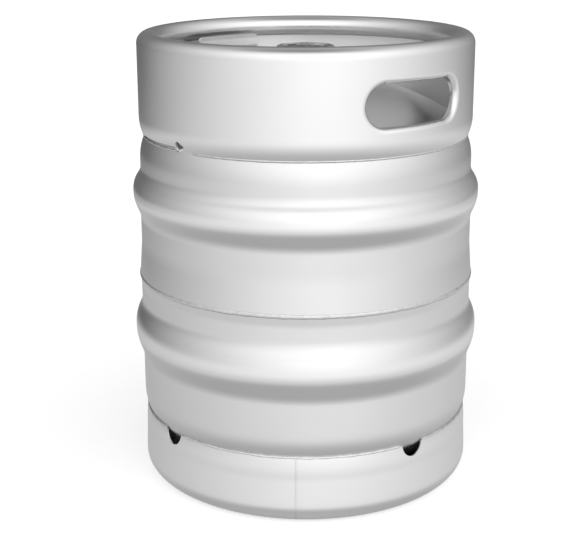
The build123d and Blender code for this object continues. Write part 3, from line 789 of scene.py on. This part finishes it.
def make_neck_weld():
    """The bead where the neck stands in the top dome."""
    crown = crown_radius(UPPER_TOP_R, CROWN_TOP_Z - UPPER_SHOULDER_Z)
    z = CROWN_TOP_Z - crown + math.sqrt(crown**2 - NECK_R**2) + NECK_BEAD_UP
    return bead("neck_weld_bead", NECK_R + NECK_BEAD_OUT, z, NECK_BEAD, math.pi / 4, [(0, 360)], 8.0)


def seam_strip(name, path, angle, size, seed):
    """An upright butt weld: a narrow strip that follows a chime's outline, slightly raised."""
    half_width, proud = size
    points = []
    faces = []
    outline = filled(path, 1.6)
    across = np.linspace(-1, 1, 7)
    p = np.array(outline)
    tangent = np.gradient(p, axis=0)
    tangent /= np.linalg.norm(tangent, axis=1)[:, None]
    if tangent[:, 1][len(tangent) // 3] < 0:
        tangent = -tangent
    outward = np.stack([tangent[:, 1], -tangent[:, 0]], 1)
    for k, (r, z) in enumerate(outline):
        wave = 1 + 0.18 * math.sin(k * 1.9) + 0.2 * noise.noise(Vector((k * 0.37, seed, 0)))
        for side in (1, -1):
            for t in across if side == 1 else across[::-1]:
                lift = proud * wave * (1 - t * t) if side == 1 else -CHIME_WALL
                strip_r, strip_z = np.array((r, z)) + outward[k] * lift
                strip_z = min(max(strip_z, SEAM_CLEAR), KEG_HEIGHT - SEAM_CLEAR)
                turn = angle + math.degrees(half_width * wave * t / r)
                points.append(place(strip_r, turn, strip_z))
    n = 2 * len(across)
    for k in range(len(outline) - 1):
        for i in range(n):
            m = (i + 1) % n
            faces.append((k * n + i, k * n + m, (k + 1) * n + m, (k + 1) * n + i))
    faces.append(tuple(range(n))[::-1])
    faces.append(tuple((len(outline) - 1) * n + i for i in range(n)))
    return mesh_object(name, points, faces)


# ------------------------------------------------------------------ springs
def coil(name, low_z, high_z, radius, wire, turns):
    """A compression coil with closed end turns."""
    around = WIRE_SIDES
    total = turns + 2 * CLOSED_TURNS
    steps = int(total * TURN_STEPS)
    pitch = CLOSED_PITCH * wire
    live_height = high_z - low_z - 2 * wire - 2 * CLOSED_TURNS * pitch
    points = []
    for k in range(steps + 1):
        t = total * k / steps
        live = min(max(t - CLOSED_TURNS, 0.0), turns) / turns
        z = low_z + wire + min(t, CLOSED_TURNS) * pitch + live * live_height
        z += max(t - CLOSED_TURNS - turns, 0.0) * pitch
        a = 2 * math.pi * t
        centre = Vector((radius * math.cos(a), radius * math.sin(a), z))
        outward = Vector((math.cos(a), math.sin(a), 0))
        for i in range(around):
            b = 2 * math.pi * i / around
            point = centre + outward * (wire * math.cos(b)) + Vector((0, 0, wire * math.sin(b)))
            points.append(tuple(point))
    faces = []
    for k in range(steps):
        for i in range(around):
            m = (i + 1) % around
            faces.append((k * around + i, k * around + m, (k + 1) * around + m, (k + 1) * around + i))
    faces.append(tuple(range(around))[::-1])
    faces.append(tuple(steps * around + i for i in range(around)))
    return mesh_object(name, points, faces)


# ------------------------------------------------------------------ materials
class Nodes:
    """A short way to add and join the shader nodes of a material or a world."""

    def __init__(self, owner):
        owner.use_nodes = True
        self.owner = owner
        self.tree = owner.node_tree

    def feed(self, socket, value):
        """Joins a socket to a node's output, or gives it a plain value."""
        if isinstance(value, bpy.types.NodeSocket):
            self.tree.links.new(value, socket)
        else:
            socket.default_value = value

    def add(self, kind, *inputs, **settings):
        """A node with these settings, whose first inputs are fed in their order."""
        node = self.tree.nodes.new(kind)
        for key, value in settings.items():
            setattr(node, key, value)
        for socket, value in zip(node.inputs, inputs):
            self.feed(socket, value)
        return node

    def math(self, operation, *inputs):
        """A number worked out from one to three others."""
        return self.add("ShaderNodeMath", *inputs, operation=operation).outputs[0]

    def between(self, factor, low, high, start=0.3, end=0.7):
        """A number that goes from low to high as the factor goes from start to end."""
        return self.add("ShaderNodeMapRange", factor, start, end, low, high).outputs["Result"]


class Finish(Nodes):
    """The shader nodes of one material, placed by the object's own coordinates."""

    def __init__(self, name, metallic=1.0):
        super().__init__(bpy.data.materials.new(name))
        self.shader = self.tree.nodes["Principled BSDF"]
        self.surface("Metallic", metallic)
        self.place = self.add("ShaderNodeTexCoord").outputs["Object"]

    def surface(self, name, value):
        """Feeds one input of the material's shader."""
        self.feed(self.shader.inputs[name], value)

    def noise(self, scale, detail, stretch=(1, 1, 1)):
        """Noise of about 1/scale metres; stretch scales the axes."""
        mapping = self.add("ShaderNodeMapping", self.place)
        self.feed(mapping.inputs["Scale"], stretch)
        node = self.add("ShaderNodeTexNoise")
        self.feed(node.inputs["Vector"], mapping.outputs["Vector"])
        self.feed(node.inputs["Scale"], scale)
        self.feed(node.inputs["Detail"], detail)
        return node.outputs["Fac"]

    def mix(self, data_type, factor, first, second):
        """A number or a colour that goes from the first to the second with the factor."""
        node = self.add("ShaderNodeMix", data_type=data_type)
        self.feed(node.inputs["Factor"], factor)
        self.feed(node.inputs["A"], first)
        self.feed(node.inputs["B"], second)
        return node.outputs["Result"]

    def height(self):
        """How high up the object a place is, in metres."""
        return self.add("ShaderNodeSeparateXYZ", self.place).outputs["Z"]

    def band(self, low_z, full_z, fading_z, high_z):
        """1 between two heights, with soft edges."""
        z = self.height()
        coming_in = self.between(z, 0.0, 1.0, low_z, full_z)
        going_out = self.between(z, 1.0, 0.0, fading_z, high_z)
        return self.math("MULTIPLY", coming_in, going_out)

    def zone(self, outer_r, low_z, full_z, high_z):
        """1 inside a radius and between two heights, coming in softly from the lower one."""
        flat = self.add("ShaderNodeVectorMath", self.place, (1, 1, 0), operation="MULTIPLY")
        radius = self.add("ShaderNodeVectorMath", flat.outputs[0], operation="LENGTH")
        z = self.height()
        inside = self.math("LESS_THAN", radius.outputs["Value"], outer_r)
        below = self.math("LESS_THAN", z, high_z)
        coming_in = self.between(z, 0.0, 1.0, low_z, full_z)
        return self.math("MULTIPLY", coming_in, self.math("MULTIPLY", inside, below))

    def bump(self, height, distance, strength):
        """Bumps as high as the distance in metres."""
        node = self.add("ShaderNodeBump")
        self.feed(node.inputs["Distance"], distance)
        self.feed(node.inputs["Strength"], strength)
        self.feed(node.inputs["Height"], height)
        self.surface("Normal", node.outputs["Normal"])


def satin_steel(name, dark, light, rough_low, rough_high, painted_light=(), bands=()):
    """Pickled stainless sheet: cloudy, and fine grained up and down.

    The zone inside the collar is painted light: its lighter colour stands in for light falling there, and
    its surface is also rougher. Its argument holds its outer radius, its lower edge, the height from
    which it is fully painted, and its upper edge, in metres. bands are rings with a colour of
    their own: the heights where each starts, is full, begins to fade and ends, and its colour.
    """
    n = Finish(name)
    colour = n.mix("RGBA", n.noise(9.0, 5.0), grey(dark), grey(light))
    rough = n.between(n.noise(14.0, 2.0), rough_low, rough_high, 0.0, 1.0)
    # Painted light: the inside of the collar gets a lighter colour in place of the light that falls
    # there, and a rougher surface.
    if painted_light:
        zone = n.zone(*painted_light)
        colour = n.mix("RGBA", zone, colour, PAINTED_LIGHT_COLOUR)
        rough = n.mix("FLOAT", zone, rough, PAINTED_LIGHT_ROUGHNESS)
    for heights, band_colour in bands:
        colour = n.mix("RGBA", n.band(*heights), colour, band_colour)
    n.surface("Base Color", colour)
    n.surface("Roughness", rough)
    n.bump(n.noise(60.0, 2.0, (1, 1, 0.12)), 0.0002, 0.10)
    return n.owner


def weld_steel(name):
    """Weld bead: uneven and a little darker than the sheet."""
    n = Finish(name)
    n.surface("Base Color", n.mix("RGBA", n.noise(120.0, 4.0), grey(0.52), grey(0.80)))
    n.surface("Roughness", n.between(n.noise(300.0, 3.0), 0.22, 0.42))
    n.bump(n.noise(700.0, 3.0), 0.0003, 0.5)
    return n.owner


def turned_steel(name, light, rough):
    """Machined steel with fine turning rings."""
    n = Finish(name)
    n.surface("Base Color", n.mix("RGBA", n.noise(40.0, 4.0), grey(light * 0.9), grey(light)))
    n.surface("Roughness", n.between(n.noise(90.0, 4.0), rough * 0.8, rough * 1.25))
    n.bump(n.noise(25.0, 2.0, (1, 1, 90)), 0.00005, 0.25)
    return n.owner


def black_rubber(name):
    """Moulded EPDM rubber."""
    n = Finish(name, metallic=0.0)
    n.surface("Specular IOR Level", 0.4)
    dark, light = (0.012, 0.012, 0.013, 1.0), (0.03, 0.03, 0.031, 1.0)
    n.surface("Base Color", n.mix("RGBA", n.noise(70.0, 4.0), dark, light))
    n.surface("Roughness", n.between(n.noise(200.0, 3.0), 0.45, 0.65))
    n.bump(n.noise(900.0, 3.0), 0.0001, 0.3)
    return n.owner


def worn_band(corners):
    """A hoop's crest, burnished by rolling on the ground: heights for Finish.band."""
    low, high = corners[1:3]
    heights = (low - WORN_BELOW, low + 1, (low + high) / 2 + 1, high + WORN_ABOVE)
    return tuple(z * MM for z in heights)


def whole_foot():
    """Heights for Finish.band that take in the foot ring alone."""
    return tuple(z * MM for z in (-2, -1, FOOT_RING_TOP_Z + 1, FOOT_RING_TOP_Z + 2))


HOOP_BANDS = [(worn_band(corners), WORN_COLOUR) for corners in (LOWER_HOOP_CORNERS, UPPER_HOOP_CORNERS)]
# Where the collar's inside is painted light: its radius and heights, in metres.
PAINTED_LIGHT_ZONE = [c * MM for c in (UPPER_CHIME_R - 1, PAINTED_LIGHT_START_Z, PAINTED_LIGHT_FULL_Z, PAINTED_LIGHT_END_Z)]
FOOT_BANDS = [(whole_foot(), FOOT_COLOUR)]
MATERIALS = {
    "shell_steel": satin_steel("shell_steel", 0.68, 0.73, 0.27, 0.38, bands=HOOP_BANDS),
    "chime_steel": satin_steel("chime_steel", 0.76, 0.81, 0.27, 0.35, PAINTED_LIGHT_ZONE, FOOT_BANDS),
    "weld_steel": weld_steel("weld_steel"),
    "dressed_weld": satin_steel("dressed_weld", 0.64, 0.76, 0.28, 0.40),
    "machined_steel": turned_steel("machined_steel", 0.72, 0.24),
    "polished_steel": turned_steel("polished_steel", 0.80, 0.10),
    "spring_steel": turned_steel("spring_steel", 0.60, 0.25),
    "black_rubber": black_rubber("black_rubber"),
}


# ------------------------------------------------------------------ pieces
def finish_piece(piece, body, slot, *nodes, look=None):
    """Gives a piece its material, its body and the CAD nodes it stands for."""
    piece.data.materials.clear()
    piece.data.materials.append(MATERIALS[look or slot])
    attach(piece, body)
    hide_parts(*nodes)
    return piece


finish_piece(make_upper_shell(), "root", "shell_steel", "upper_shell")
finish_piece(make_lower_shell(), "root", "shell_steel", "lower_shell")
finish_piece(make_upper_chime(), "root", "chime_steel", "upper_chime")
finish_piece(make_lower_chime(), "root", "chime_steel", "lower_chime")
finish_piece(make_girth_weld(), "root", "weld_steel", "girth_weld")
finish_piece(make_upper_chime_weld(), "root", "weld_steel", "upper_chime_weld")
finish_piece(make_lower_chime_weld(), "root", "weld_steel", "lower_chime_weld")
finish_piece(make_neck_weld(), "root", "weld_steel", "neck_weld")
collar_seam = seam_strip("upper_chime_seam_bead", collar_path(), COLLAR_SEAM_ANGLE, COLLAR_SEAM, 1.0)
finish_piece(collar_seam, "root", "weld_steel", "upper_chime_seam", look="dressed_weld")
foot_seam = seam_strip("lower_chime_seam_bead", foot_path(), FOOT_SEAM_ANGLE, FOOT_SEAM, 2.0)
finish_piece(foot_seam, "root", "weld_steel", "lower_chime_seam", look="dressed_weld")

# These pieces are shown as the CAD made them, each with its finish.
for node, slot in (
    ("neck", "machined_steel"),
    ("body_gasket", "black_rubber"),
    ("spear_body", "machined_steel"),
    ("spring_retainer", "machined_steel"),
    ("retainer_ring", "spring_steel"),
    ("gas_valve_cup", "machined_steel"),
    ("gas_valve_seal", "black_rubber"),
    ("beer_valve", "polished_steel"),
    ("down_tube", "machined_steel"),
):
    obj = frame["nodes"][node]
    obj.data.materials.clear()
    obj.data.materials.append(MATERIALS[slot])


def spring_piece(node, body, turns, travel):
    """Replaces a CAD coil with one whose ends are closed, carried by its body."""
    low, high = cad_mm(node)
    wire = (high[0] - low[0]) * WIRE_SHARE
    radius = (high[0] - low[0]) / 2 - wire
    piece = coil(node + "_coil", low[2], high[2], radius, wire, turns)
    finish_piece(piece, body, "spring_steel", node)
    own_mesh(piece)


travels = {j["name"]: (j.get("range_m") or [0, 0])[1] / MM for j in frame["joints"]}
gas, beer = "gas_valve_slide", "beer_valve_slide"
spring_piece("gas_valve_spring", "root", GAS_SPRING_TURNS, travels[gas])
spring_piece("beer_valve_spring", "gas_valve", BEER_SPRING_TURNS, travels[beer])


# ------------------------------------------------------------------ studio
def make_world():
    """A soft tent that only the steel sees, with a white backdrop for the camera."""
    world = bpy.data.worlds.new("studio")
    bpy.context.scene.world = world
    n = Nodes(world)
    direction = n.add("ShaderNodeTexCoord").outputs["Generated"]
    parts = n.add("ShaderNodeSeparateXYZ", direction)
    height = n.math("DEGREES", n.math("ARCSINE", parts.outputs["Z"]))
    side = math.radians(CAMERA_POLAR + TENT_TURN)
    towards = (math.cos(side), math.sin(side), 0)
    dot = n.add("ShaderNodeVectorMath", direction, towards, operation="DOT_PRODUCT")
    turned_away = n.math("DEGREES", n.math("ARCCOSINE", dot.outputs["Value"]))

    ramp = n.add("ShaderNodeValToRGB", n.math("MULTIPLY_ADD", height, 1 / 180, 0.5))
    ramp.color_ramp.interpolation = "EASE"
    brightest = max(radiance for _, radiance in TENT)
    stops = ramp.color_ramp.elements
    while len(stops) < len(TENT):
        stops.new(0.5)
    for stop, (degrees, radiance) in zip(stops, TENT):
        stop.position = (degrees + 90) / 180
        stop.color = grey(radiance / brightest)
    share = n.between(turned_away, *TENT_SHARES, *TENT_SIDES)
    tent = n.tree.nodes["Background"]
    n.feed(tent.inputs["Color"], ramp.outputs["Color"])
    n.feed(tent.inputs["Strength"], n.math("MULTIPLY", share, brightest))

    low = n.between(height, 0.0, 1.0, *LOW_GLOW_HEIGHTS)
    lost = n.math("MULTIPLY", low, n.between(turned_away, 0.0, LOW_GLOW_LOST, *LOW_GLOW_SIDES))
    glow = n.math("SUBTRACT", n.between(height, 0.0, FLOOR_GLOW, *FLOOR_GLOW_HEIGHTS), lost)
    floor_light = n.add("ShaderNodeBackground", grey(1.0), glow)
    both = n.add("ShaderNodeAddShader", tent.outputs[0], floor_light.outputs[0])

    backdrop = n.add("ShaderNodeBackground", grey(1.0))
    camera_ray = n.add("ShaderNodeLightPath").outputs["Is Camera Ray"]
    seen = n.add("ShaderNodeMixShader", camera_ray, both.outputs[0], backdrop.outputs[0])
    n.feed(n.tree.nodes["World Output"].inputs["Surface"], seen.outputs[0])


def make_floor():
    """A pale floor that takes the keg's contact shadow, dark in the shade under the foot ring."""
    far = FLOOR_FAR
    corners = [(-far, -far, 0), (far, -far, 0), (far, far, 0), (-far, far, 0)]
    floor = mesh_object("floor", corners, [range(4)])
    pale = Finish("pale_floor", metallic=0.0)
    pale.surface("Base Color", grey(0.9))
    pale.surface("Roughness", 0.9)
    pale.surface("Specular IOR Level", 0.0)
    pale.surface("Emission Color", grey(1.0))
    pale.surface("Emission Strength", FLOOR_SHINE)
    floor.data.materials.append(pale.owner)
    floor.visible_glossy = False
    edge = [place(FOOT_SHADE_R, angle, FOOT_SHADE_Z) for angle in range(0, 360, 6)]
    shade = mesh_object("floor_in_shade", edge, [range(len(edge))])
    dark = Finish("floor_in_shade", metallic=0.0)
    dark.surface("Base Color", grey(0.02))
    shade.data.materials.append(dark.owner)


def make_camera():
    """The camera, where the photo's outline of the keg puts it."""
    lens = bpy.data.cameras.new("camera")
    lens.sensor_width = SENSOR_WIDTH
    lens.lens = CAMERA_LENS
    lens.clip_end = 50
    camera = bpy.data.objects.new("camera", lens)
    bpy.context.scene.collection.objects.link(camera)
    a = math.radians(CAMERA_POLAR)
    back = Vector((math.cos(a), math.sin(a), 0))
    camera.location = (back * CAMERA_DISTANCE + Vector((0, 0, CAMERA_HEIGHT))) * MM
    turn = Matrix.Rotation(math.radians(CAMERA_POLAR + 90 - CAMERA_YAW), 4, "Z")
    tilt = Matrix.Rotation(math.radians(90 - CAMERA_TILT), 4, "X")
    roll = Matrix.Rotation(math.radians(CAMERA_ROLL), 4, "Z")
    camera.rotation_euler = (turn @ tilt @ roll).to_euler()
    bpy.context.scene.camera = camera


make_world()
make_floor()
make_camera()
bpy.context.scene.view_settings.view_transform = "Standard"
